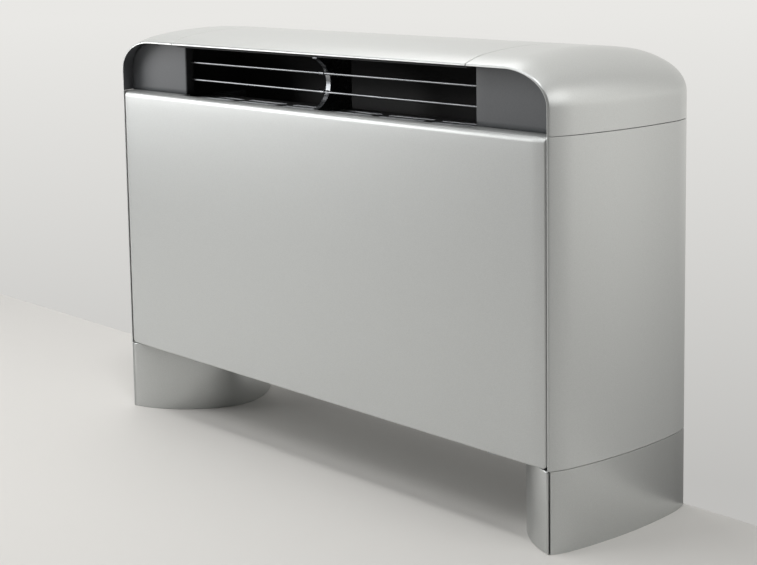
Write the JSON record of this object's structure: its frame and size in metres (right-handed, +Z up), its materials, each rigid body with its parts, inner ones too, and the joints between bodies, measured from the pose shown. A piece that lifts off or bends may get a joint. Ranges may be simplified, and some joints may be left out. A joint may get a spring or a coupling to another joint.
{
  "type": "floor-standing fan coil unit",
  "caption": "Floor-standing fan coil unit: silver cabinet with a swollen hood and sides, front air outlet with bars, round-backed feet, twin-wheel fan, water coil and a slide-out filter.",
  "frame": {"origin": "on the floor, under the middle of the cabinet", "axes": "+X to the right as seen from the front, +Y to the wall, +Z up"},
  "size_m": [0.83, 0.23, 0.537],
  "materials": {
    "silver_paint": "satin metallic silver",
    "foot_plastic": "satin metallic silver",
    "grey_plastic": "moulded matt",
    "bright_steel": "bright drawn",
    "black_paint": "matt black",
    "galvanised_steel": "zinc spangle",
    "insulation_foam": "open-cell foam",
    "rubber": "moulded",
    "wheel_aluminium": "pressed sheet",
    "fin_aluminium": "rolled foil",
    "copper": "drawn copper",
    "brass": "turned",
    "black_plastic": "moulded matt",
    "box_plastic": "moulded matt",
    "terminal_plastic": "moulded matt",
    "filter_fabric": "woven mesh",
    "screw_steel": "zinc plated"
  },
  "bodies": {
    "cabinet": {"front_panel": "silver_paint", "front_insulation": "insulation_foam", "left_side_panel": "silver_paint", "right_side_panel": "silver_paint", "hood_centre": "silver_paint", "hood_left_end": "silver_paint", "hood_right_end": "silver_paint", "left_outlet_blank": "grey_plastic", "right_outlet_blank": "grey_plastic", "lower_outlet_bar": "bright_steel", "upper_outlet_bar": "bright_steel", "outlet_centre_rib": "bright_steel", "outlet_guard": "black_paint", "outlet_duct": "black_paint", "left_foot_outer": "foot_plastic", "left_foot_inner": "foot_plastic", "right_foot_outer": "foot_plastic", "right_foot_inner": "foot_plastic", "back_panel": "galvanised_steel", "left_end_plate": "galvanised_steel", "right_end_plate": "galvanised_steel", "front_base_rail": "galvanised_steel", "rear_base_rail": "galvanised_steel", "left_filter_guide": "galvanised_steel", "right_filter_guide": "galvanised_steel", "fan_deck": "galvanised_steel", "left_fan_housing": "galvanised_steel", "right_fan_housing": "galvanised_steel", "fan_motor": "black_paint", "left_motor_bracket": "galvanised_steel", "right_motor_bracket": "galvanised_steel", "left_motor_ring": "rubber", "right_motor_ring": "rubber", "left_shaft_bearing": "bright_steel", "right_shaft_bearing": "bright_steel", "coil_fins": "fin_aluminium", "coil_tubes": "copper", "coil_left_plate": "galvanised_steel", "coil_right_plate": "galvanised_steel", "front_header": "copper", "rear_header": "copper", "air_vent": "brass", "drain_pan": "black_plastic", "drain_spout": "black_plastic", "terminal_box": "box_plastic", "terminal_cover": "box_plastic", "terminal_block": "terminal_plastic", "cable_gland": "black_plastic", "foot_screws": "screw_steel", "end_plate_screws": "screw_steel", "motor_screws": "screw_steel", "cover_screws": "screw_steel"},
    "fan_rotor": {"fan_shaft": "bright_steel", "left_fan_wheel": "wheel_aluminium", "right_fan_wheel": "wheel_aluminium"},
    "filter": {"filter_frame": "black_plastic", "filter_medium": "filter_fabric"}
  },
  "joints": [
    {"name": "fan_spin", "type": "hinge", "parent": "cabinet", "child": "fan_rotor", "pos_m": [0, 0.012, 0.196], "axis": [1, 0, 0], "continuous": true},
    {"name": "filter_slide", "type": "slide", "parent": "cabinet", "child": "filter", "axis": [0, -1, 0], "range_m": [0, 0.16]}
  ]
}
